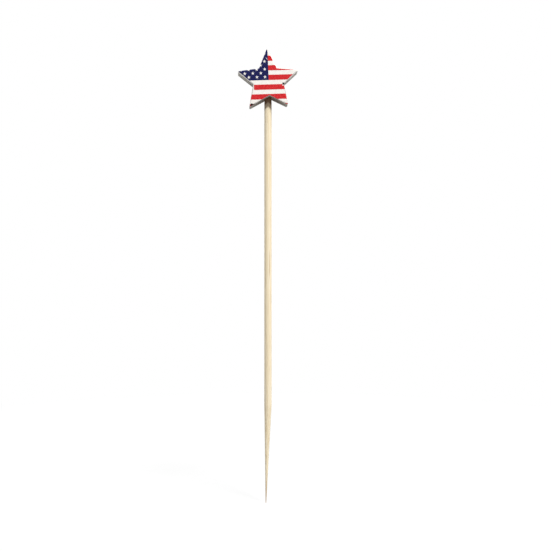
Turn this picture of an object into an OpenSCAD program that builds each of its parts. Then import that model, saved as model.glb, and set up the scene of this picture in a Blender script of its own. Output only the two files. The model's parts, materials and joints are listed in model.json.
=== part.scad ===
// Cocktail pick: a wooden star head, printed with stars and stripes, glued on a pointed bamboo stick.
// Frame: the stick's point is the origin, +Z runs up the stick, and the printed face looks along -Y.

/* [Stick] */
// Length from the stick's point to the star's top tip
overall_length = 120; // [90:1:180]
// Diameter of the straight shaft
stick_d = 1.95; // [1.6:0.05:2.6]
// Length of the long taper that makes the point
point_length = 26; // [10:1:40]
// Diameter of the blunted point
point_d = 0.16; // [0.1:0.02:0.4]
// How far the point was ground to the left of the shaft's axis
point_shift = 0.55; // [0:0.05:0.7]
// Diameter of the trimmed end that goes into the star
tenon_end_d = 1.6; // [1.2:0.05:1.8]

/* [Star] */
// Centre to the meeting point of a tip's two sides, before the tip is rounded
star_r = 8.64; // [7:0.02:12]
// Centre to the two upper inner corners
star_waist_r = 4.05; // [3.4:0.05:6]
// Centre to the two inner corners beside the legs
side_waist_r = 4.2; // [3.4:0.05:6]
// Angle by which those two corners are turned up towards the arms
side_lift = 6; // [-6:0.5:8]
// Centre to the notch between the legs
notch_r = 4.1; // [3.4:0.05:5]
// Angle by which the notch is turned to the right
notch_turn = 2; // [-5:0.5:5]
// How much longer the left leg is than the other tips
left_leg_extra = 0.1; // [-0.5:0.05:0.5]
// Angle by which the left leg is turned outwards
left_leg_turn = 2; // [-3:0.5:3]
// How much longer the right leg is than the other tips
right_leg_extra = -0.3; // [-0.5:0.05:0.5]
// Angle by which the right leg is turned outwards
right_leg_turn = 1; // [-3:0.5:3]
// Radius that blunts each tip
tip_round = 0.25; // [0.05:0.05:0.4]
// Thickness of the bare wooden star
blank_t = 3.8; // [3.2:0.1:6]
// Turn of the star in its own plane, anticlockwise from the front
head_tilt = 2.4; // [-5:0.1:5]
// How far the star's centre sits to the right of the shaft's axis
head_offset = 0.05; // [-0.6:0.05:0.6]

/* [Print] */
// Thickness of the white ground film on the front
film_t = 0.15; // [0.05:0.05:0.3]
// Thickness of a layer of ink
ink_t = 0.05; // [0.02:0.01:0.1]
// Height of one red stripe
red_h = 1.36; // [0.8:0.02:2]
// Height of one white stripe
white_h = 1.16; // [0.8:0.02:2]
// Height of the canton's foot above the star's centre
canton_lift = 0.1; // [-0.5:0.05:0.5]
// How far the canton's right edge lies to the right of the star's centre
canton_side = 0.05; // [-0.5:0.05:0.5]
// Red stripes that lie beside the canton
reds_above = 3; // [1:1:3]
// Red stripes that lie below the canton
reds_below = 3; // [1:1:3]
// Spacing of the small stars along a row
field_pitch = 2.12; // [1.6:0.02:3]
// Spacing of the rows of small stars
field_row = 1.02; // [0.8:0.02:1.6]
// Distance of the first small star from the canton's right edge
field_side = 0.92; // [0.6:0.02:1.2]
// Distance of the lowest row of small stars from the canton's foot
field_foot = 0.84; // [0.6:0.02:1.2]
// Centre to tip of a small star
field_star_r = 0.5; // [0.3:0.02:0.56]

/* [Joint] */
// Depth of the drilled hole above the notch between the star's legs
bore_depth = 5; // [3:0.5:7]
// Gap between the shaft's radius and the hole's, which the glue fills
glue_gap = 0.1; // [0.05:0.05:0.3]
// Gap that the glue fills over the end of the stick
glue_end_gap = 0.2; // [0.1:0.05:0.5]
// Width and height of the glue bead where the stick leaves the notch
bead_w = 0.3; // [0.15:0.05:0.5]
// Room left free round the top of the straight shaft, for what the pick is pushed into
shaft_room = 0.8; // [0.4:0.1:1.5]

/* [Hidden] */
$fn = 64;

points = 5;
step = 360 / points;
tip_arc_steps = 6;
// Tips are numbered anticlockwise from the top one
left_leg = 2;
right_leg = 3;
right_arm = 4;

stick_r = stick_d / 2;
point_r = point_d / 2;
bore_r = stick_r + glue_gap;

// The point's cone leans over to the shaft, ends a little way up inside it and stays clear of its rim
cone_root = 0.2;
cone_rim = 0.01;
cone_h = point_length + cone_root;
cone_lean = atan(point_shift / cone_h);

// Half of the angle at a tip, and how far the rounded tip reaches from the centre
tip_half = atan2(star_waist_r * sin(step / 2), star_r - star_waist_r * cos(step / 2));
tip_centre = star_r - tip_round / sin(tip_half);
tip_reach = tip_centre + tip_round;

star_z = overall_length - tip_reach * cos(head_tilt);
// Place of the notch between the legs, across from the shaft's axis
notch_x = head_offset + notch_r * sin(head_tilt + notch_turn);
notch_z = star_z - notch_r * cos(head_tilt + notch_turn);
// Steepest fall of the notch's two sides, away from the notch
notch_slope = max(fall_to(left_leg), fall_to(right_leg)) + abs(head_tilt);

bore_top = notch_z + bore_depth;
stick_top = bore_top - glue_end_gap;
bead_r = bore_r + bead_w;
// The straight shaft stops where a ring round it, shaft_room wide, would meet the notch or the bead
shaft_top = notch_z - (stick_r + shaft_room + abs(notch_x)) * tan(notch_slope) - bead_w;

// Layers in front of the blank, measured towards the viewer from the stick's axis
blank_front = blank_t / 2;
film_front = blank_front + film_t;

red_pitch = red_h + white_h;
field_rows = ceil(star_r / field_row);
field_columns = ceil(star_r / field_pitch);

function on_circle(r, a) = [r * cos(a), r * sin(a)];

// Each tip's own direction, and how much further than the others it reaches
function tip_angle(i) = 90 + i * step + (i == left_leg ? -left_leg_turn : i == right_leg ? right_leg_turn : 0);
function tip_extra(i) = i == left_leg ? left_leg_extra : i == right_leg ? right_leg_extra : 0;

// One tip's rounded end
function tip_points(i) = [
    for (k = [0:tip_arc_steps])
        on_circle(tip_centre + tip_extra(i), tip_angle(i))
        + on_circle(tip_round, tip_angle(i) + (90 - tip_half) * (2 * k / tip_arc_steps - 1))
];

// The inner corner that comes before tip i
function corner(i) = let (a = 90 + (i - 0.5) * step)
    i == left_leg ? on_circle(side_waist_r, a - side_lift)
    : i == right_leg ? on_circle(notch_r, a + notch_turn)
    : i == right_arm ? on_circle(side_waist_r, a + side_lift)
    : on_circle(star_waist_r, a);

// Angle at which the notch's side falls to the tip of leg i
function fall_to(i) = let (drop = on_circle(star_r + tip_extra(i), tip_angle(i)) - corner(right_leg))
    atan2(-drop[1], abs(drop[0]));

module star_outline() {
    polygon([
        for (i = [0:points - 1])
            each concat([corner(i)], tip_points(i))
    ]);
}

// A sharp five-pointed star with straight arms, one tip up
module small_star(r) {
    waist = r * cos(step) / cos(step / 2);
    polygon([
        for (i = [0:2 * points - 1])
            on_circle(i % 2 == 0 ? r : waist, 90 + i * step / 2)
    ]);
}

// Stands a flat drawing up as a layer of the head, from one depth to another towards the viewer
module head_layer(from, to) {
    translate([point_shift + head_offset, 0, star_z])
        rotate([90, -head_tilt, 0])
            translate([0, 0, from])
                linear_extrude(to - from) children();
}

// The upper left quarter, which ends close to the star's centre
module canton_area() {
    translate([canton_side - star_r, canton_lift]) square(star_r);
}

// Bars that run across the whole star, the first one level with the canton's foot
module stripe_bars() {
    for (i = [-reds_below:reds_above - 1])
        translate([-star_r, canton_lift + i * red_pitch]) square([2 * star_r, red_h]);
}

// Staggered rows of small stars over the canton
module field_stars() {
    for (j = [0:field_rows - 1], i = [0:field_columns])
        translate([
            canton_side - field_side - (i + (j % 2) / 2) * field_pitch,
            canton_lift + field_foot + j * field_row
        ]) small_star(field_star_r);
}

// A straight shaft with a trimmed end above
module shaft() {
    translate([point_shift, 0, 0]) rotate_extrude() polygon([
        [0, point_length],
        [stick_r, point_length],
        [stick_r, shaft_top],
        [tenon_end_d / 2, stick_top],
        [0, stick_top]
    ]);
}

// The long point, whose lowest edge touches the ground
module point() {
    translate([0, 0, point_r * sin(cone_lean)])
        rotate([0, cone_lean, 0])
            cylinder(r1 = point_r, r2 = stick_r - cone_rim, h = cone_h / cos(cone_lean));
}

module stick_form() {
    shaft();
    point();
}

// A rod on the shaft's axis that runs from below the notch to the end of the hole
module bore_rod(r) {
    translate([point_shift, 0, shaft_top]) cylinder(r = r, h = bore_top - shaft_top);
}

module star_prism() {
    head_layer(-blank_front, blank_front) star_outline();
}

module star_form() {
    difference() {
        star_prism();
        bore_rod(bore_r);
    }
}

module stick() {
    color("#EAD7AE") stick_form();
}

module star_blank() {
    color("#ECEAE4") star_form();
}

module print_film() {
    color("#FAF8F3") head_layer(blank_front, film_front) star_outline();
}

module red_stripes() {
    color("#D2222D") head_layer(film_front, film_front + ink_t)
        intersection() {
            star_outline();
            difference() {
                stripe_bars();
                canton_area();
            }
        }
}

module blue_canton() {
    color("#1F2260") head_layer(film_front, film_front + ink_t)
        intersection() {
            star_outline();
            difference() {
                canton_area();
                field_stars();
            }
        }
}

// Glue that fills the hole round the stick's end, with a bead that follows the notch
module glue_joint() {
    color("#5C3E21") difference() {
        intersection() {
            bore_rod(bead_r);
            translate([0, 0, -bead_w]) star_prism();
        }
        star_form();
        stick_form();
    }
}

stick();
star_blank();
print_film();
red_stripes();
blue_canton();
glue_joint();
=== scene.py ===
# Looks of a cocktail pick: a printed wooden star glued on a sharpened bamboo stick
import json
import math
import bmesh
import bpy
from mathutils import Matrix, Vector, noise


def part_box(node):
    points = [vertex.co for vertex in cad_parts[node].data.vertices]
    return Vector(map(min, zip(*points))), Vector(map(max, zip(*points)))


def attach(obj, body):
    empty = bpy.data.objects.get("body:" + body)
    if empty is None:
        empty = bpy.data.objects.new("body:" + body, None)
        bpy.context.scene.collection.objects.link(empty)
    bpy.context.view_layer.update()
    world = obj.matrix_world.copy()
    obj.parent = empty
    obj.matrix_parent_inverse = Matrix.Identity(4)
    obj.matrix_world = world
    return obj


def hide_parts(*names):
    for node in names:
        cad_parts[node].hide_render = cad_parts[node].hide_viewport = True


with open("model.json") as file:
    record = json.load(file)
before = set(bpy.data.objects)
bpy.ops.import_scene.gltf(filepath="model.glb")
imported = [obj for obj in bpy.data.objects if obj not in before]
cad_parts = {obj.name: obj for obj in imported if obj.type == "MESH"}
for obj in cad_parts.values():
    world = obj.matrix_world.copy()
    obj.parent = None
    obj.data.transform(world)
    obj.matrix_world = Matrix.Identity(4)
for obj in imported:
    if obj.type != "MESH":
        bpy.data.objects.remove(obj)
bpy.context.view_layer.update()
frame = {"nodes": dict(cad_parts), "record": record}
mm = 0.001
shaftMount = next(mount for mount in frame["record"]["mounts"] if mount["name"] == "stick_shaft")
axisX = shaftMount["pos_m"][0]
stickRadius = shaftMount["dims"]["r_mm"] * mm
shaftTop = shaftMount["pos_m"][2] + shaftMount["dims"]["length_mm"] * mm / 2
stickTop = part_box("stick")[1].z
print("frame loaded:", sorted(frame["nodes"]))

noiseMiddle = 0.5               # what a noise texture swings round
mixShare, mixUnder, mixOver, mixResult = 0, 6, 7, 2     # sockets of a Mix node that mixes colours


def srgb(hexColour):
    # hex colour as it looks on screen, to the linear values that shaders use
    linear = []
    for start in (1, 3, 5):
        value = int(hexColour[start:start + 2], 16) / 255
        linear.append(value / 12.92 if value <= 0.04045 else ((value + 0.055) / 1.055) ** 2.4)
    return (*linear, 1)


def grey(level):
    # a linear grey
    return (level, level, level, 1)


def addNode(tree, kind, settings=None, values=None, links=None):
    # one node: settings are its own options, values fill sockets, links come from other nodes' outputs
    node = tree.nodes.new(kind)
    for name, value in (settings or {}).items():
        setattr(node, name, value)
    for socket, value in (values or {}).items():
        node.inputs[socket].default_value = value
    for socket, source in (links or {}).items():
        tree.links.new(source, node.inputs[socket])
    return node


def setRamp(node, stops, colours):
    # a hex colour at each stop, in order
    elements = node.color_ramp.elements
    while len(elements) < len(stops):
        elements.new(1.0)
    for element, stop, colour in zip(elements, stops, colours):
        element.position = stop
        element.color = srgb(colour)


def clearTree(owner):
    # the node tree of a material or of the world, emptied
    owner.use_nodes = True
    owner.node_tree.nodes.clear()
    return owner.node_tree


def startMaterial(name):
    # an empty material with a shader and the piece's own coordinates, in metres
    material = bpy.data.materials.new(name)
    tree = clearTree(material)
    shader = addNode(tree, "ShaderNodeBsdfPrincipled")
    addNode(tree, "ShaderNodeOutputMaterial", links={"Surface": shader.outputs["BSDF"]})
    place = addNode(tree, "ShaderNodeTexCoord").outputs["Object"]
    return material, tree, shader, place


def lengthwiseNoise(tree, place, width, length, values):
    # noise drawn out along the pick, with streaks about this wide and this long
    stretched = addNode(tree, "ShaderNodeMapping", links={"Vector": place},
                        values={"Scale": (1 / width, 1 / width, 1 / length)})
    streaks = addNode(tree, "ShaderNodeTexNoise", values={"Scale": 1.0, **values},
                      links={"Vector": stretched.outputs["Vector"]})
    return streaks.outputs["Fac"]


def facingBack(tree):
    # Y part of a face's direction: 1 where it looks to the back, -1 where it looks out of the print
    normal = addNode(tree, "ShaderNodeNewGeometry").outputs["Normal"]
    return addNode(tree, "ShaderNodeSeparateXYZ", links={"Vector": normal}).outputs["Y"]


def dressShader(tree, shader, finish, colour, pattern, height):
    # colour and shine, a roughness that follows a pattern, and relief
    low, high = finish["roughness"]
    rough = addNode(tree, "ShaderNodeMapRange", values={"To Min": low, "To Max": high},
                    links={"Value": pattern})
    bump = addNode(tree, "ShaderNodeBump", links={"Height": height},
                   values={"Strength": finish["bump"], "Distance": finish["relief"]})
    tree.links.new(colour, shader.inputs["Base Color"])
    tree.links.new(rough.outputs["Result"], shader.inputs["Roughness"])
    tree.links.new(bump.outputs["Normal"], shader.inputs["Normal"])
    shader.inputs["Specular IOR Level"].default_value = finish["shine"]


def makePiece(name, bm, material):
    # turns a built mesh into an object
    mesh = bpy.data.meshes.new(name)
    bmesh.ops.recalc_face_normals(bm, faces=bm.faces[:])
    bm.to_mesh(mesh)
    bm.free()
    piece = bpy.data.objects.new(name, mesh)
    bpy.context.scene.collection.objects.link(piece)
    mesh.materials.append(material)
    return piece


def smoothPiece(piece, degrees):
    # smooth shading, broken where two faces meet at more than this angle
    for face in piece.data.polygons:
        face.use_smooth = True
    piece.data.set_sharp_from_angle(angle=math.radians(degrees))
    weighted = piece.modifiers.new("flatFacesStayFlat", "WEIGHTED_NORMAL")
    weighted.keep_sharp = True


def cutAway(piece, cutter):
    # takes the cutter's space out of the piece and throws the cutter away
    cut = piece.modifiers.new("cut", "BOOLEAN")
    cut.operation = "DIFFERENCE"
    cut.solver = "EXACT"
    cut.object = cutter
    graph = bpy.context.evaluated_depsgraph_get()
    mesh = bpy.data.meshes.new_from_object(piece.evaluated_get(graph))
    piece.modifiers.clear()
    piece.data = mesh
    bpy.data.objects.remove(cutter)


def finishPiece(piece, node):
    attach(piece, "root")
    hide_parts(node)
    print("piece made:", piece.name, len(piece.data.polygons), "faces")


# camera, level with the middle of the pick and a little to its left
viewpoint = {
    "distance": 219 * mm,       # from the shaft's axis
    "sideways": -9.3 * mm,
    "height": 60.37 * mm,
    "aimSideways": 2.0 * mm,
    "lens": 53.9,               # on a 36 mm wide sensor
    "nearest": 5 * mm,          # what is closer isn't drawn
}


def makeCamera():
    data = bpy.data.cameras.new("camera")
    data.lens = viewpoint["lens"]
    data.clip_start = viewpoint["nearest"]
    camera = bpy.data.objects.new("camera", data)
    bpy.context.scene.collection.objects.link(camera)
    camera.location = (axisX + viewpoint["sideways"], -viewpoint["distance"], viewpoint["height"])
    aim = Vector((axisX + viewpoint["aimSideways"], 0, viewpoint["height"]))
    camera.rotation_euler = (aim - camera.location).to_track_quat("-Z", "Y").to_euler()
    bpy.context.scene.camera = camera


makeCamera()
print("camera made")


# the star's outline, and its place from the imported head
starHead = {
    "tipRadius": 8.64 * mm,     # centre to where a tip's two sides would meet
    "waistRadius": 4.05 * mm,   # centre to the two upper inner corners
    "sideRadius": 4.2 * mm,     # centre to the two inner corners beside the legs
    "sideLift": 6,              # degrees that those two are turned up towards the arms
    "notchRadius": 4.1 * mm,    # centre to the notch between the legs
    "notchTurn": 2,             # degrees that the notch is turned to the right
    "leftLegExtra": 0.1 * mm,   # how much longer than the other tips the left leg is
    "leftLegTurn": 2,           # degrees that it is turned outwards
    "rightLegExtra": -0.3 * mm,
    "rightLegTurn": 1,
    "tipRound": 0.25 * mm,
    "tiltDegrees": 2.4,         # anticlockwise, seen from the front
    "offset": 0.05 * mm,        # centre to the right of the shaft
    "frontEdge": 0.3 * mm,      # radius of the edge that the print rolls over
    "backEdge": 0.15 * mm,
    "flatMargin": 0.25 * mm,    # ring that keeps a flat face flat up to its rounded edge
    "edgeSteps": 6,
    "tipSteps": 8,
    "sharpDegrees": 35,         # steeper corners than this stay sharp, on the star and its print
    "clearance": 0.004 * mm,    # hairline between layers that lie on each other
}
starTips = 5
tipTurn = math.tau / starTips
tilt = math.radians(starHead["tiltDegrees"])
notchTurn = math.radians(starHead["notchTurn"])
notchCorner = Vector((math.sin(notchTurn), -math.cos(notchTurn))) * starHead["notchRadius"]

waistX = starHead["waistRadius"] * math.sin(tipTurn / 2)
waistZ = starHead["waistRadius"] * math.cos(tipTurn / 2)
tipHalf = math.atan2(waistX, starHead["tipRadius"] - waistZ)
tipCentre = starHead["tipRadius"] - starHead["tipRound"] / math.sin(tipHalf)
sideDistance = starHead["tipRadius"] * math.sin(tipHalf)   # centre to the line of any side

blankLow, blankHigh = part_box("star_blank")
blankFront = blankLow.y
blankBack = blankHigh.y
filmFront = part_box("print_film")[0].y
filmThickness = blankFront - filmFront
tipReach = tipCentre * math.cos(tilt) + starHead["tipRound"]
starCentre = Vector((axisX + starHead["offset"], 0, blankHigh.z - tipReach))
headPlace = Matrix.Translation(starCentre) @ Matrix.Rotation(-tilt, 4, "Y")
notchRidge = headPlace @ Vector((notchCorner.x, 0, notchCorner.y))
edgeInner = starHead["frontEdge"] - filmThickness
faceRing = starHead["frontEdge"] + starHead["flatMargin"]


def shrink(inset):
    # all sides lie almost equally far from the centre, so this scale moves every side in by the inset
    return 1 - inset / sideDistance


# the star was sawn by hand: what differs from a true one, counted anticlockwise from the top tip
leftLeg, rightLeg, rightArm = 2, 3, 4
tipChanges = {                  # how much further each reaches, and its turn
    leftLeg: (starHead["leftLegExtra"], -math.radians(starHead["leftLegTurn"])),
    rightLeg: (starHead["rightLegExtra"], math.radians(starHead["rightLegTurn"])),
}
sideLift = math.radians(starHead["sideLift"])
cornerChanges = {               # radius and turn of the corner before each tip
    leftLeg: (starHead["sideRadius"], -sideLift),
    rightLeg: (starHead["notchRadius"], notchTurn),
    rightArm: (starHead["sideRadius"], sideLift),
}


def tipRay(tip):
    # heading of a tip, and how much further than the others it reaches
    extra, turn = tipChanges.get(tip, (0, 0))
    return math.pi / 2 + tip * tipTurn + turn, extra


def starOutline(inset):
    scale = shrink(inset)
    points = []
    rounding = starHead["tipRound"]
    for tip in range(starTips):
        radius, turn = cornerChanges.get(tip, (starHead["waistRadius"], 0))
        inner = math.pi / 2 + (tip - 0.5) * tipTurn + turn
        points.append((radius * scale * math.cos(inner), radius * scale * math.sin(inner)))
        heading, extra = tipRay(tip)
        for step in range(starHead["tipSteps"] + 1):
            sweep = (2 * step / starHead["tipSteps"] - 1) * (math.pi / 2 - tipHalf)
            x = (tipCentre + extra) * math.cos(heading) + rounding * math.cos(heading + sweep)
            z = (tipCentre + extra) * math.sin(heading) + rounding * math.sin(heading + sweep)
            points.append((x * scale, z * scale))
    return points


def joinRings(bm, rings):
    # faces between neighbouring rings of points
    count = len(rings[0])
    for ring, following in zip(rings, rings[1:]):
        for i in range(count):
            j = (i + 1) % count
            bm.faces.new((ring[i], ring[j], following[j], following[i]))


def capRing(bm, ring, middle):
    # closes a ring with a fan round a middle point
    hub = bm.verts.new(middle)
    for i in range(len(ring)):
        bm.faces.new((ring[i], hub, ring[(i + 1) % len(ring)]))


def sweepStar(profile):
    # profile holds (inset, y) pairs from the middle of the front round to the back
    bm = bmesh.new()
    rings = []
    for inset, y in profile:
        rings.append([bm.verts.new((x, y, z)) for x, z in starOutline(inset)])
    joinRings(bm, rings)
    capRing(bm, rings[0], (0, profile[0][1], 0))
    capRing(bm, rings[-1], (0, profile[-1][1], 0))
    return bm


def edgeArc(front, radius, startInset):
    # rounding from a flat front to a straight side, as (inset, y) pairs
    arc = []
    for step in range(starHead["edgeSteps"] + 1):
        angle = math.pi / 2 * step / starHead["edgeSteps"]
        inset = startInset + radius * (1 - math.sin(angle))
        arc.append((inset, front + radius * (1 - math.cos(angle))))
    return arc


# glue that ran into what surrounds the notch, and painted shade: the notch lies in shadow, and this
# darkens it
glueStainAndShade = {
    "colour": "#4A3320",
    "share": 0.78,
    "full": 1.2 * mm,           # from the notch, and how far the last of it reaches
    "reach": 7 * mm,
}


def soakGlueAndShade(tree, place, colour, fades):
    # mixes glue stain and painted shade into a colour, by distance from the notch and by how far a face
    # turns from the print
    fromNotch = addNode(tree, "ShaderNodeMapping", links={"Vector": place},
                        values={"Location": (-notchRidge.x, 0, -notchRidge.z), "Scale": (1, 0, 1)})
    away = addNode(tree, "ShaderNodeVectorMath", {"operation": "LENGTH"},
                   links={0: fromNotch.outputs["Vector"]})
    soakedAndShaded = addNode(tree, "ShaderNodeMapRange", {"interpolation_type": "SMOOTHSTEP"},
                     {"From Min": glueStainAndShade["full"], "From Max": glueStainAndShade["reach"],
                      "To Min": glueStainAndShade["share"], "To Max": 0.0}, {"Value": away.outputs["Value"]})
    clean, soaking = fades
    bare = addNode(tree, "ShaderNodeMapRange", values={"From Min": clean, "From Max": soaking},
                   links={"Value": facingBack(tree)})
    stain = addNode(tree, "ShaderNodeMath", {"operation": "MULTIPLY"},
                    links={0: soakedAndShaded.outputs["Result"], 1: bare.outputs["Result"]})
    stainedAndShaded = addNode(tree, "ShaderNodeMix", {"data_type": "RGBA"}, {mixOver: srgb(glueStainAndShade["colour"])},
                      {mixShare: stain.outputs["Value"], mixUnder: colour})
    return stainedAndShaded.outputs[mixResult]


# lime wood, sawn and sprayed white: matt, and greyer to the back, which is painted shade
limeWood = {
    "front": ("#ABA79F", "#BFBCB5"),    # sides near the print
    "back": ("#8F8B83", "#B5B1A9"),     # sides near the back, darker as painted shade
    "face": ("#C8C4BC", "#DAD7D0"),     # the flat back, painted again
    "faceFades": (0.6, 0.9),    # Y part of a face's direction, from a side to the back
    "grainWidth": 0.25 * mm,
    "grainLength": 5 * mm,
    "grainNoise": {"Detail": 5.0, "Roughness": 0.6},
    "grainStops": (0.3, 0.6),   # noise at which the two colours of a pair are full
    "relief": 0.006 * mm,
    "bump": 0.5,
    "roughness": (0.65, 0.8),
    "shine": 0.12,
    "stainAndShadeFades": (0.8, 0.3),   # Y part of a face's direction, from clean faces to those that take the stain and painted shade
}


def limeWoodLacquered():
    material, tree, shader, place = startMaterial("limeWoodLacquered")
    grain = lengthwiseNoise(tree, place, limeWood["grainWidth"], limeWood["grainLength"],
                            limeWood["grainNoise"])
    paint = {}
    for side in ("front", "back", "face"):
        ramp = addNode(tree, "ShaderNodeValToRGB", links={"Fac": grain})
        setRamp(ramp, limeWood["grainStops"], limeWood[side])
        paint[side] = ramp.outputs["Color"]
    parts = addNode(tree, "ShaderNodeSeparateXYZ", links={"Vector": place})
    # painted shade: the sides darken from the print towards the back
    depth = addNode(tree, "ShaderNodeMapRange", {"interpolation_type": "SMOOTHSTEP"},
                    {"From Min": blankFront, "From Max": blankBack}, {"Value": parts.outputs["Y"]})
    sides = addNode(tree, "ShaderNodeMix", {"data_type": "RGBA"}, links={
        mixShare: depth.outputs["Result"], mixUnder: paint["front"], mixOver: paint["back"]})
    low, high = limeWood["faceFades"]
    onBack = addNode(tree, "ShaderNodeMapRange", values={"From Min": low, "From Max": high},
                     links={"Value": facingBack(tree)})
    coat = addNode(tree, "ShaderNodeMix", {"data_type": "RGBA"}, links={
        mixShare: onBack.outputs["Result"], mixUnder: sides.outputs[mixResult], mixOver: paint["face"]})
    # glue stain and painted shade on the walls round the notch
    stainedAndShaded = soakGlueAndShade(tree, place, coat.outputs[mixResult], limeWood["stainAndShadeFades"])
    dressShader(tree, shader, limeWood, stainedAndShaded, grain, grain)
    return material


# how the stick is glued into the star
stickJoint = {
    "glueGap": 0.1 * mm,        # between the shaft and the drilled hole
    "drillRunOut": 3 * mm,      # how far below the glue the drill starts
    "drillSegments": 48,
    "beadWidth": 0.3 * mm,
    "beadSteps": 6,
    "segments": 64,
    "sharpDegrees": 50,
}
boreRadius = stickRadius + stickJoint["glueGap"]
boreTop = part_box("glue_joint")[1].z


def makeStarBlank():
    shelf = starHead["clearance"]
    seat = edgeArc(blankFront + shelf, edgeInner - shelf, filmThickness + shelf)
    back = edgeArc(-blankBack, starHead["backEdge"], 0)
    profile = [(faceRing, blankFront + shelf)]
    profile += seat
    profile += [(0, seat[-1][1])]
    profile += [(inset, -y) for inset, y in reversed(back)]
    profile += [(starHead["backEdge"] + starHead["flatMargin"], blankBack)]
    bm = sweepStar(profile)
    bm.transform(headPlace)
    blank = makePiece("starBlank", bm, limeWoodLacquered())
    drill = bmesh.new()
    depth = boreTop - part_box("glue_joint")[0].z + stickJoint["drillRunOut"]
    middle = Matrix.Translation((axisX, 0, boreTop - depth / 2))
    bmesh.ops.create_cone(drill, cap_ends=True, segments=stickJoint["drillSegments"], depth=depth,
                          radius1=boreRadius, radius2=boreRadius, matrix=middle)
    cutAway(blank, makePiece("drill", drill, blank.data.materials[0]))
    smoothPiece(blank, starHead["sharpDegrees"])
    finishPiece(blank, "star_blank")


makeStarBlank()


# dark spots on film and ink: a speck in the right inner corner, and at the left leg's tip a spot and a
# smear that paint the shade on its rolled-over ink
darkSpecks = {
    "colour": "#1E1714",
    "spots": (                  # x, z and radius
        (3.9 * mm, -0.95 * mm, 0.36 * mm),
        # the left leg's two: painted shade
        (-4.72 * mm, -6.28 * mm, 0.42 * mm),
        (-4.1 * mm, -6.2 * mm, 0.3 * mm),
    ),
    "core": 0.7,                # share of the radius that is fully dark
    "bay": 0.3 * mm,            # width of the bays in their outline
    "bayDepth": 0.5 * mm,       # at the noise's full swing, which it never comes near
}


def addSpecks(tree, place, colour):
    # spots with a ragged outline, because the place they are measured from is shifted by noise
    bays = addNode(tree, "ShaderNodeTexNoise", values={"Scale": 1 / darkSpecks["bay"]},
                   links={"Vector": place})
    shift = addNode(tree, "ShaderNodeVectorMath", {"operation": "SUBTRACT"}, {1: (noiseMiddle,) * 3},
                    {0: bays.outputs["Color"]})
    ragged = addNode(tree, "ShaderNodeVectorMath", {"operation": "MULTIPLY_ADD"},
                     {1: (darkSpecks["bayDepth"],) * 3}, {0: shift.outputs["Vector"], 2: place})
    for x, z, radius in darkSpecks["spots"]:
        away = addNode(tree, "ShaderNodeVectorMath", {"operation": "DISTANCE"},
                       {1: headPlace @ Vector((x, filmFront, z))}, {0: ragged.outputs["Vector"]})
        dark = addNode(tree, "ShaderNodeMapRange", {"interpolation_type": "SMOOTHSTEP"},
                       {"From Min": darkSpecks["core"] * radius, "From Max": radius,
                        "To Min": 1.0, "To Max": 0.0}, {"Value": away.outputs["Value"]})
        spotted = addNode(tree, "ShaderNodeMix", {"data_type": "RGBA"},
                          {mixOver: srgb(darkSpecks["colour"])},
                          {mixShare: dark.outputs["Result"], mixUnder: colour})
        colour = spotted.outputs[mixResult]
    return colour


# transfer film, printed white as a ground: smooth, slightly warm, with the wood pressing through
transferFilm = {
    "colours": ("#F1ECE4", "#F8F4EE"),
    "patch": 0.7 * mm,
    "patchDetail": 3.0,
    "patchStops": (0.35, 0.6),  # noise at which the two colours are full
    "relief": 0.008 * mm,
    "bump": 0.3,
    "roughness": 0.55,
    "shine": 0.15,
    "stainAndShadeFades": (-0.97, -0.85),   # its rounded edge takes the stain and painted shade, its face does not
}


def transferFilmWhite():
    material, tree, shader, place = startMaterial("transferFilmWhite")
    patches = addNode(tree, "ShaderNodeTexNoise", links={"Vector": place},
                      values={"Scale": 1 / transferFilm["patch"], "Detail": transferFilm["patchDetail"]})
    ramp = addNode(tree, "ShaderNodeValToRGB", links={"Fac": patches.outputs["Fac"]})
    setRamp(ramp, transferFilm["patchStops"], transferFilm["colours"])
    bump = addNode(tree, "ShaderNodeBump", links={"Height": patches.outputs["Fac"]},
                   values={"Strength": transferFilm["bump"], "Distance": transferFilm["relief"]})
    # glue stain and painted shade on the rounded edge near the notch
    stainedAndShaded = soakGlueAndShade(tree, place, ramp.outputs["Color"], transferFilm["stainAndShadeFades"])
    tree.links.new(addSpecks(tree, place, stainedAndShaded), shader.inputs["Base Color"])
    tree.links.new(bump.outputs["Normal"], shader.inputs["Normal"])
    shader.inputs["Roughness"].default_value = transferFilm["roughness"]
    shader.inputs["Specular IOR Level"].default_value = transferFilm["shine"]
    return material


def makePrintFilm():
    outer = edgeArc(filmFront, starHead["frontEdge"], 0)
    inner = edgeArc(blankFront, edgeInner, filmThickness)
    profile = [(faceRing, filmFront)] + outer + inner[::-1] + [(faceRing, blankFront)]
    bm = sweepStar(profile)
    bm.transform(headPlace)
    film = makePiece("printFilm", bm, transferFilmWhite())
    smoothPiece(film, starHead["sharpDegrees"])
    finishPiece(film, "print_film")


makePrintFilm()


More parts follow.
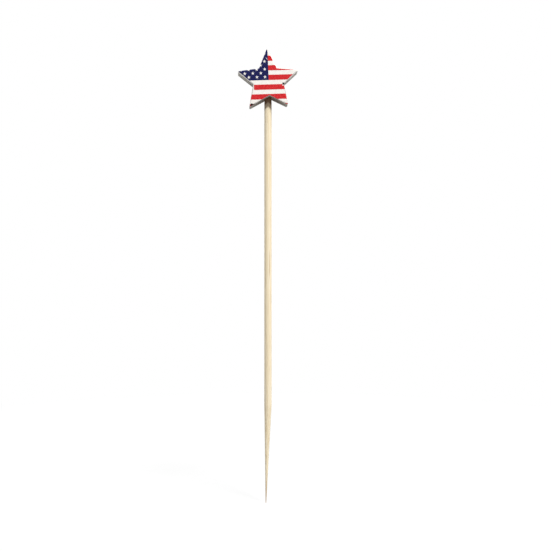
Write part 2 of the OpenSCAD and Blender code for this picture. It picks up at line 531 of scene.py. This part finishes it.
# the flag's layout on the face, in the star's own frame
flagPrint = {
    "redHeight": 1.36 * mm,
    "whiteHeight": 1.16 * mm,
    "cantonFoot": 0.1 * mm,     # above the star's centre
    "cantonSide": 0.05 * mm,    # right of the star's centre
    "redsAbove": 3,             # beside the canton
    "redsBelow": 3,
    "shortStripe": -1,          # the stripe that meets the inner corners
    "shortStripeEnd": -3.9 * mm,    # it starts here, and white film shows to its left
    "starPitch": 2.12 * mm,     # along a row
    "rowPitch": 1.02 * mm,
    "starSide": 0.92 * mm,      # first small star to the canton's right edge
    "starFoot": 0.84 * mm,      # and to its foot
    "starRadius": 0.5 * mm,
    "thickness": 0.012 * mm,    # printed ink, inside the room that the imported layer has
    "wrapDegrees": (15, 66),    # how far the ink rolls over edges that look down, and over the others
    "wrapSlope": (-0.75, 0.15),     # upward part of the edge's direction at which these begin
    "rightSlope": 0.3,          # rightward part of it from which an edge counts as looking right
    "rightShare": 0.3,          # such edges get no more than this share of the way from least to most
    "bareMarks": (              # x, z, length, width and turn of places where the ink came off
        (-0.22 * mm, 5.73 * mm, 1.1 * mm, 0.15 * mm, -56),
        (3.78 * mm, -1.33 * mm, 0.6 * mm, 0.36 * mm, 40),
    ),
    "cutTolerance": 1e-6 * mm,  # points this close to a cut lie on it
}


def inkSurface():
    # the film's outer face and as much of its rounded edge as takes ink
    radius = starHead["frontEdge"]
    outline = [Vector(point) for point in starOutline(0)]
    least, most = flagPrint["wrapDegrees"]
    steepest, gentlest = flagPrint["wrapSlope"]
    reaches = []
    neighbours = zip(outline[-1:] + outline, outline[1:] + outline[:1])
    for number, (before, after) in enumerate(neighbours):
        tip, fromCorner = divmod(number, starHead["tipSteps"] + 2)
        along = (after - before).normalized()
        upward, rightward = -along.x, along.y
        share = (min(max(upward, steepest), gentlest) - steepest) / (gentlest - steepest)
        if tip == rightArm or rightward > flagPrint["rightSlope"]:
            share = min(share, flagPrint["rightShare"])
        if fromCorner and tip in (leftLeg, rightLeg):
            share = 1           # the legs' tips took ink all over
        reaches.append(math.radians(least + share * (most - least)))
    bm = bmesh.new()
    rings = [[bm.verts.new((x, filmFront, z)) for x, z in starOutline(faceRing)]]
    for step in range(starHead["edgeSteps"] + 1):
        ring = []
        for point, reach in zip(outline, reaches):
            angle = reach * step / starHead["edgeSteps"]
            x, z = point * shrink(radius * (1 - math.sin(angle)))
            ring.append(bm.verts.new((x, filmFront + radius * (1 - math.cos(angle)), z)))
        rings.append(ring)
    joinRings(bm, rings)
    capRing(bm, rings[0], (0, filmFront, 0))
    return bm


def keepBehind(bm, point, outward):
    # keeps what lies behind a plane that faces outward
    geometry = bm.verts[:] + bm.edges[:] + bm.faces[:]
    bmesh.ops.bisect_plane(bm, geom=geometry, dist=flagPrint["cutTolerance"],
                           plane_co=point, plane_no=outward, clear_outer=True)


def thickenInk(bm):
    # turns the cut surface into a closed layer that stands on the film
    bmesh.ops.recalc_face_normals(bm, faces=bm.faces[:])
    flattest = max(bm.faces, key=lambda face: abs(face.normal.y))
    if flattest.normal.y > 0:
        bmesh.ops.reverse_faces(bm, faces=bm.faces[:])
    bm.normal_update()
    thickness = flagPrint["thickness"]
    lifted = {vert: bm.verts.new(vert.co + vert.normal * thickness) for vert in bm.verts[:]}
    rims = [loop for face in bm.faces for loop in face.loops if loop.edge.is_boundary]
    rims = [(loop.vert, loop.link_loop_next.vert) for loop in rims]
    for face in bm.faces[:]:
        bm.faces.new([lifted[vert] for vert in face.verts])
    for a, b in rims:
        bm.faces.new((a, b, lifted[b], lifted[a]))
    return bm


# screen ink on film: even colour broken by fine mottling, with a matt face
printInk = {
    "red": ("#B9141C", "#E4393B"),
    "blue": ("#0E103C", "#212460"),
    "mottle": 0.3 * mm,
    "mottleDetail": 4.0,
    "speck": 0.07 * mm,         # coarser than real ink grain, so that it shows
    "speckDetail": 2.0,
    "speckShare": 0.35,         # of the specks' noise, added to the mottling
    "stops": (0.5, 0.85),       # sum at which the two colours are full
    "roughness": (0.5, 0.65),
    "shine": 0.1,
    "relief": 0.005 * mm,
    "bump": 0.3,
}


def screenInk(name, colours):
    material, tree, shader, place = startMaterial(name)
    mottle = addNode(tree, "ShaderNodeTexNoise", links={"Vector": place},
                     values={"Scale": 1 / printInk["mottle"], "Detail": printInk["mottleDetail"]})
    specks = addNode(tree, "ShaderNodeTexNoise", links={"Vector": place},
                     values={"Scale": 1 / printInk["speck"], "Detail": printInk["speckDetail"]})
    both = addNode(tree, "ShaderNodeMath", {"operation": "MULTIPLY_ADD"}, {1: printInk["speckShare"]},
                   {0: specks.outputs["Fac"], 2: mottle.outputs["Fac"]})
    ramp = addNode(tree, "ShaderNodeValToRGB", links={"Fac": both.outputs["Value"]})
    setRamp(ramp, printInk["stops"], colours)
    spotted = addSpecks(tree, place, ramp.outputs["Color"])
    dressShader(tree, shader, printInk, spotted, mottle.outputs["Fac"], both.outputs["Value"])
    return material


def addCutter(bm, outline):
    # a prism through the ink, of any flat outline
    near = filmFront - starHead["frontEdge"]
    far = filmFront + starHead["frontEdge"]
    ends = [[bm.verts.new((x, y, z)) for x, z in outline] for y in (near, far)]
    joinRings(bm, ends)
    for end in ends:
        bm.faces.new(end)


def addBareMarks(cutters):
    # lens shapes where the ink came off
    for x, z, length, width, degrees in flagPrint["bareMarks"]:
        turn = Matrix.Rotation(math.radians(degrees), 2)
        ends = [(-length / 2, 0), (0, -width / 2), (length / 2, 0), (0, width / 2)]
        addCutter(cutters, [Vector((x, z)) + turn @ Vector(end) for end in ends])


def addSmallStars(cutters):
    # rows of stars, staggered, that the blue leaves open
    outer = flagPrint["starRadius"]
    inner = outer * math.cos(tipTurn) / math.cos(tipTurn / 2)
    rows = math.ceil(starHead["tipRadius"] / flagPrint["rowPitch"])
    columns = math.ceil(starHead["tipRadius"] / flagPrint["starPitch"])
    for row in range(rows):
        for column in range(columns):
            fromSide = flagPrint["starSide"] + (column + row % 2 / 2) * flagPrint["starPitch"]
            x = flagPrint["cantonSide"] - fromSide
            z = flagPrint["cantonFoot"] + flagPrint["starFoot"] + row * flagPrint["rowPitch"]
            outline = []
            for corner in range(2 * starTips):
                heading = math.pi / 2 + corner * tipTurn / 2
                radius = inner if corner % 2 else outer
                outline.append((x + radius * math.cos(heading), z + radius * math.sin(heading)))
            addCutter(cutters, outline)


def makeRedStripes():
    whole = bmesh.new()
    pitch = flagPrint["redHeight"] + flagPrint["whiteHeight"]
    for number in range(-flagPrint["redsBelow"], flagPrint["redsAbove"]):
        foot = flagPrint["cantonFoot"] + number * pitch
        stripe = inkSurface()
        keepBehind(stripe, (0, 0, foot), (0, 0, -1))
        keepBehind(stripe, (0, 0, foot + flagPrint["redHeight"]), (0, 0, 1))
        if number >= 0:
            keepBehind(stripe, (flagPrint["cantonSide"], 0, 0), (-1, 0, 0))
        if number == flagPrint["shortStripe"]:
            keepBehind(stripe, (flagPrint["shortStripeEnd"], 0, 0), (-1, 0, 0))
        mesh = bpy.data.meshes.new("stripe")
        thickenInk(stripe).to_mesh(mesh)
        stripe.free()
        whole.from_mesh(mesh)
        bpy.data.meshes.remove(mesh)
    stripes = makePiece("redStripes", whole, screenInk("screenInkRed", printInk["red"]))
    marks = bmesh.new()
    addBareMarks(marks)
    cutAway(stripes, makePiece("redMarks", marks, stripes.data.materials[0]))
    stripes.data.transform(headPlace)
    smoothPiece(stripes, starHead["sharpDegrees"])
    finishPiece(stripes, "red_stripes")


makeRedStripes()


def makeBlueCanton():
    field = inkSurface()
    keepBehind(field, (flagPrint["cantonSide"], 0, 0), (1, 0, 0))
    keepBehind(field, (0, 0, flagPrint["cantonFoot"]), (0, 0, -1))
    canton = makePiece("blueCanton", thickenInk(field), screenInk("screenInkBlue", printInk["blue"]))
    marks = bmesh.new()
    addSmallStars(marks)
    addBareMarks(marks)
    cutAway(canton, makePiece("blueMarks", marks, canton.data.materials[0]))
    canton.data.transform(headPlace)
    smoothPiece(canton, starHead["sharpDegrees"])
    finishPiece(canton, "blue_canton")


makeBlueCanton()


# bamboo, drawn through a die and sharpened on a wheel: straw colour with long fibres and darker strands
bambooStick = {
    "pointLength": 26 * mm,
    "pointRadius": 0.08 * mm,
    "tenonRadius": 0.8 * mm,
    "segments": 72,
    "ringSpacing": 0.8 * mm,
    "sharpDegrees": 35,
    "relief": 0.014 * mm,       # depth of the furrows between fibres
    "bump": 0.6,
    "furrowsAround": 40,
    "furrowLength": 14 * mm,
    "colours": ("#E5CFA6", "#F3E3C2", "#FAF0DC"),
    "colourStops": (0.25, 0.5, 0.72),   # noise at which each colour is full
    "fibreWidth": 0.11 * mm,
    "fibreLength": 9 * mm,
    "fibreNoise": {"Detail": 4.0, "Roughness": 0.55},
    "strand": "#A9844E",
    "strandWidth": 0.2 * mm,
    "strandLength": 7 * mm,
    "strandNoise": {"Detail": 2.0},
    "strandFades": (0.6, 0.72),     # noise from which a strand shows, and at which it is full
    "strandShare": 0.55,
    "pointColour": "#B08A58",
    "pointStain": 9 * mm,       # the sharpened end is browner up to here
    "pointShare": 0.8,
    # the glue runs also paint the star's shadow on the top of the stick
    "glueAndShadowColour": "#52311A",
    "glueRunsAndShadow": (               # how far below the bead each run is full, where it ends, and its share
        (1.06 * mm, 1.62 * mm, 0.67),
        (-0.1 * mm, 0.5 * mm, 0.8),
    ),
    "glueAndShadowHang": 0.8,            # how steeply they fall towards the sides, as the notch and its shadow do
    "roughness": (0.5, 0.7),
    "shine": 0.08,
}


def stickProfile(z):
    # middle and radius of the stick at a height; the point was ground off to the left
    if z < bambooStick["pointLength"]:
        share = z / bambooStick["pointLength"]
        radius = bambooStick["pointRadius"] + share * (stickRadius - bambooStick["pointRadius"])
        return axisX * share, radius
    if z < shaftTop:
        return axisX, stickRadius
    share = (z - shaftTop) / (stickTop - shaftTop)
    return axisX, stickRadius + share * (bambooStick["tenonRadius"] - stickRadius)


def bambooFibres():
    material, tree, shader, place = startMaterial("bambooSanded")
    fibres = lengthwiseNoise(tree, place, bambooStick["fibreWidth"], bambooStick["fibreLength"],
                             bambooStick["fibreNoise"])
    straw = addNode(tree, "ShaderNodeValToRGB", links={"Fac": fibres})
    setRamp(straw, bambooStick["colourStops"], bambooStick["colours"])

    # vascular strands, dark and broken, as long dashes
    strands = lengthwiseNoise(tree, place, bambooStick["strandWidth"], bambooStick["strandLength"],
                              bambooStick["strandNoise"])
    low, high = bambooStick["strandFades"]
    dark = addNode(tree, "ShaderNodeMapRange", links={"Value": strands},
                   values={"From Min": low, "From Max": high, "To Max": bambooStick["strandShare"]})
    streaked = addNode(tree, "ShaderNodeMix", {"data_type": "RGBA"},
                       {mixOver: srgb(bambooStick["strand"])},
                       {mixShare: dark.outputs["Result"], mixUnder: straw.outputs["Color"]})

    # the ground point is browner
    parts = addNode(tree, "ShaderNodeSeparateXYZ", links={"Vector": place})
    stain = addNode(tree, "ShaderNodeMapRange", {"interpolation_type": "SMOOTHSTEP"},
                    {"From Max": bambooStick["pointStain"], "To Min": bambooStick["pointShare"],
                     "To Max": 0.0}, {"Value": parts.outputs["Z"]})
    browned = addNode(tree, "ShaderNodeMix", {"data_type": "RGBA"},
                      {mixOver: srgb(bambooStick["pointColour"])},
                      {mixShare: stain.outputs["Result"], mixUnder: streaked.outputs[mixResult]})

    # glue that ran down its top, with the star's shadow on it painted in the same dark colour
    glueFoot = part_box("glue_joint")[0].z
    offAxis = addNode(tree, "ShaderNodeMath", {"operation": "SUBTRACT"}, {1: axisX},
                      {0: parts.outputs["X"]})
    aside = addNode(tree, "ShaderNodeMath", {"operation": "ABSOLUTE"},
                    links={0: offAxis.outputs["Value"]})
    hung = addNode(tree, "ShaderNodeMath", {"operation": "MULTIPLY_ADD"}, {1: bambooStick["glueAndShadowHang"]},
                   {0: aside.outputs["Value"], 2: parts.outputs["Z"]})
    colour = browned.outputs[mixResult]
    for full, end, share in bambooStick["glueRunsAndShadow"]:
        glued = addNode(tree, "ShaderNodeMapRange", {"interpolation_type": "SMOOTHSTEP"},
                        {"From Min": glueFoot - end, "From Max": glueFoot - full, "To Max": share},
                        {"Value": hung.outputs["Value"]})
        soakedAndShaded = addNode(tree, "ShaderNodeMix", {"data_type": "RGBA"},
                         {mixOver: srgb(bambooStick["glueAndShadowColour"])},
                         {mixShare: glued.outputs["Result"], mixUnder: colour})
        colour = soakedAndShaded.outputs[mixResult]
    dressShader(tree, shader, bambooStick, colour, fibres, fibres)
    return material


def makeStick():
    bm = bmesh.new()
    count = bambooStick["segments"]
    spaces = math.ceil(stickTop / bambooStick["ringSpacing"])
    levels = {stickTop * i / spaces for i in range(spaces + 1)}
    levels |= {bambooStick["pointLength"], shaftTop}
    around = bambooStick["furrowsAround"] / math.tau
    rings = []
    for z in sorted(levels):
        ring = []
        middle, size = stickProfile(z)
        along = z / bambooStick["furrowLength"]
        for i in range(count):
            angle = math.tau * i / count
            spot = Vector((around * math.cos(angle), around * math.sin(angle), along))
            furrow = (1 + noise.noise(spot)) / 2 * bambooStick["relief"]
            radius = size - furrow * size / stickRadius
            ring.append(bm.verts.new((middle + radius * math.cos(angle), radius * math.sin(angle), z)))
        rings.append(ring)
    joinRings(bm, rings)
    bm.faces.new(rings[0])
    bm.faces.new(rings[-1])
    stick = makePiece("stick", bm, bambooFibres())
    smoothPiece(stick, bambooStick["sharpDegrees"])
    finishPiece(stick, "stick")


makeStick()


# wood glue, dried: a brown film with a soft shine, made dark to paint the shade under the notch as well
shadedWoodGlue = {
    "colours": ("#4A3018", "#6E4C2A"),
    "cloud": 0.5 * mm,
    "cloudDetail": 3.0,
    "cloudStops": (0.3, 0.7),   # noise at which the two colours are full
    "roughness": 0.45,
    "shine": 0.1,
}


def shadedWoodGlueDried():
    material, tree, shader, place = startMaterial("shadedWoodGlueDried")
    cloud = addNode(tree, "ShaderNodeTexNoise", links={"Vector": place},
                    values={"Scale": 1 / shadedWoodGlue["cloud"], "Detail": shadedWoodGlue["cloudDetail"]})
    ramp = addNode(tree, "ShaderNodeValToRGB", links={"Fac": cloud.outputs["Fac"]})
    setRamp(ramp, shadedWoodGlue["cloudStops"], shadedWoodGlue["colours"])
    tree.links.new(ramp.outputs["Color"], shader.inputs["Base Color"])
    shader.inputs["Roughness"].default_value = shadedWoodGlue["roughness"]
    shader.inputs["Specular IOR Level"].default_value = shadedWoodGlue["shine"]
    return material


def notchHeight(x):
    # height of the notch's roof above a place, left and right of its ridge
    heading, extra = tipRay(rightLeg if x > notchRidge.x else leftLeg)
    reach = starHead["tipRadius"] + extra
    tip = headPlace @ Vector((reach * math.cos(heading), 0, reach * math.sin(heading)))
    return notchRidge.z + (x - notchRidge.x) * (tip.z - notchRidge.z) / (tip.x - notchRidge.x)


def makeGlue():
    width = stickJoint["beadWidth"]
    hair = starHead["clearance"]
    bm = bmesh.new()
    columns = []
    for i in range(stickJoint["segments"]):
        angle = math.tau * i / stickJoint["segments"]
        across, deep = math.cos(angle), math.sin(angle)
        foot = notchHeight(axisX + stickRadius * across) - width
        column = [(bambooStick["tenonRadius"], stickTop + hair)]
        inner = stickProfile(foot)[1] - bambooStick["relief"]
        for step in range(stickJoint["beadSteps"] + 1):
            swing = math.pi / 2 * step / stickJoint["beadSteps"]
            radius = inner + width * (1 - math.cos(swing))
            drop = width * (1 - math.sin(swing))
            column.append((radius, notchHeight(axisX + radius * across) - drop + hair))
        column.append((boreRadius - hair, notchHeight(axisX + boreRadius * across) + hair))
        column.append((boreRadius - hair, boreTop - hair))
        columns.append([bm.verts.new((axisX + r * across, r * deep, z)) for r, z in column])
    rings = list(zip(*columns))
    joinRings(bm, rings)
    bm.faces.new(rings[0])
    bm.faces.new(rings[-1])
    glue = makePiece("glueJoint", bm, shadedWoodGlueDried())
    smoothPiece(glue, stickJoint["sharpDegrees"])
    finishPiece(glue, "glue_joint")


makeGlue()


# floor and light: a white sweep, a lamp high on the right, a weaker one behind, soft light from the front
studio = {
    "floorRadius": 200 * mm,
    "floorSides": 96,
    "floorShade": 0.06,         # how much of the shadows the floor shows
    "floorGlow": 0.915,         # lifts the floor to the backdrop's white, for the eye only
    "floorBounce": 0.2,         # what the floor sends back onto the pick
    "backdrop": 1.0,            # white, for the eye only
    "cardSize": 300 * mm,
    "cardGap": 0.3 * mm,        # behind the star
    "cardWhite": 0.75,
    "cardGlow": 0.1,            # light through it, as from a lit table
    "skyLight": 0.08,           # soft light, from the front half only, for the card closes off the back
    "skyFront": 0.9,            # how much more of it comes from straight ahead
    "skyRight": 0.14,           # and from the right and above
    "skyUp": 0.03,
    "keyDirection": (0.233, -0.333, 0.914),     # from the pick to the lamp
    "keyStrength": 3.6,
    "backDirection": (0.3, 0.75, 0.55),
    "backStrength": 1.8,
    "lampDegrees": 9,           # how wide each lamp looks from the pick
}


def seenDirectly(tree):
    # 1 for rays that carry the picture itself, straight or by reflection
    path = addNode(tree, "ShaderNodeLightPath")
    mirrored = addNode(tree, "ShaderNodeMath", {"operation": "MAXIMUM"},
                       links={0: path.outputs["Is Glossy Ray"], 1: path.outputs["Is Transmission Ray"]})
    seen = addNode(tree, "ShaderNodeMath", {"operation": "MAXIMUM"},
                   links={0: path.outputs["Is Camera Ray"], 1: mirrored.outputs["Value"]})
    return seen.outputs["Value"]


def glowingPaper(tree, level, strength):
    # matt paper of a linear grey, with light of its own
    paper = addNode(tree, "ShaderNodeBsdfDiffuse", values={"Color": grey(level)})
    glow = addNode(tree, "ShaderNodeEmission", values={"Strength": strength})
    lit = addNode(tree, "ShaderNodeAddShader",
                  links={0: paper.outputs["BSDF"], 1: glow.outputs["Emission"]})
    return lit.outputs["Shader"]


def makeFloor():
    bm = bmesh.new()
    bmesh.ops.create_circle(bm, cap_ends=True, segments=studio["floorSides"],
                            radius=studio["floorRadius"])
    material = bpy.data.materials.new("paperSweep")
    tree = clearTree(material)
    bright = glowingPaper(tree, studio["floorShade"], studio["floorGlow"])
    quiet = addNode(tree, "ShaderNodeBsdfDiffuse", values={"Color": grey(studio["floorBounce"])})
    mixed = addNode(tree, "ShaderNodeMixShader",
                    links={0: seenDirectly(tree), 1: quiet.outputs["BSDF"], 2: bright})
    addNode(tree, "ShaderNodeOutputMaterial", links={"Surface": mixed.outputs["Shader"]})
    floor = makePiece("floor", bm, material)


def makeCard():
    # never seen: it only sends light onto the sides, as a table does under a pick that lies flat
    bm = bmesh.new()
    half = studio["cardSize"] / 2
    corners = [(-half, 0), (half, 0), (half, 2 * half), (-half, 2 * half)]
    bm.faces.new([bm.verts.new((axisX + x, blankBack + studio["cardGap"], z)) for x, z in corners])
    material = bpy.data.materials.new("whiteCard")
    tree = clearTree(material)
    lit = glowingPaper(tree, studio["cardWhite"], studio["cardGlow"])
    addNode(tree, "ShaderNodeOutputMaterial", links={"Surface": lit})
    card = makePiece("bounceCard", bm, material)
    card.visible_camera = False
    card.visible_glossy = False
    card.visible_transmission = False
    card.visible_shadow = False


def makeSky():
    world = bpy.data.worlds.new("studio")
    bpy.context.scene.world = world
    tree = clearTree(world)
    direction = addNode(tree, "ShaderNodeTexCoord").outputs["Generated"]
    slope = addNode(tree, "ShaderNodeVectorMath", {"operation": "DOT_PRODUCT"},
                    {1: (studio["skyRight"], -studio["skyFront"], studio["skyUp"])}, {0: direction})
    level = addNode(tree, "ShaderNodeMath", {"operation": "ADD", "use_clamp": True},
                    {1: studio["skyLight"]}, {0: slope.outputs["Value"]})
    parts = addNode(tree, "ShaderNodeSeparateXYZ", links={"Vector": direction})
    front = addNode(tree, "ShaderNodeMath", {"operation": "LESS_THAN"}, {1: 0.0},
                    {0: parts.outputs["Y"]})
    soft = addNode(tree, "ShaderNodeMath", {"operation": "MULTIPLY"},
                   links={0: level.outputs["Value"], 1: front.outputs["Value"]})
    strength = addNode(tree, "ShaderNodeMix", {"data_type": "FLOAT"}, {"B": studio["backdrop"]},
                       {"Factor": seenDirectly(tree), "A": soft.outputs["Value"]})
    sky = addNode(tree, "ShaderNodeBackground", values={"Color": grey(1)},
                  links={"Strength": strength.outputs["Result"]})
    addNode(tree, "ShaderNodeOutputWorld", links={"Surface": sky.outputs["Background"]})


def makeLamp(name, direction, strength):
    data = bpy.data.lights.new(name, "SUN")
    data.energy = strength
    data.angle = math.radians(studio["lampDegrees"])
    lamp = bpy.data.objects.new(name, data)
    bpy.context.scene.collection.objects.link(lamp)
    lamp.rotation_euler = (-Vector(direction)).to_track_quat("-Z", "Y").to_euler()


makeFloor()
makeCard()
makeSky()
makeLamp("keyLamp", studio["keyDirection"], studio["keyStrength"])
makeLamp("backLamp", studio["backDirection"], studio["backStrength"])
bpy.context.scene.view_settings.view_transform = "Standard"
print("floor and light made")
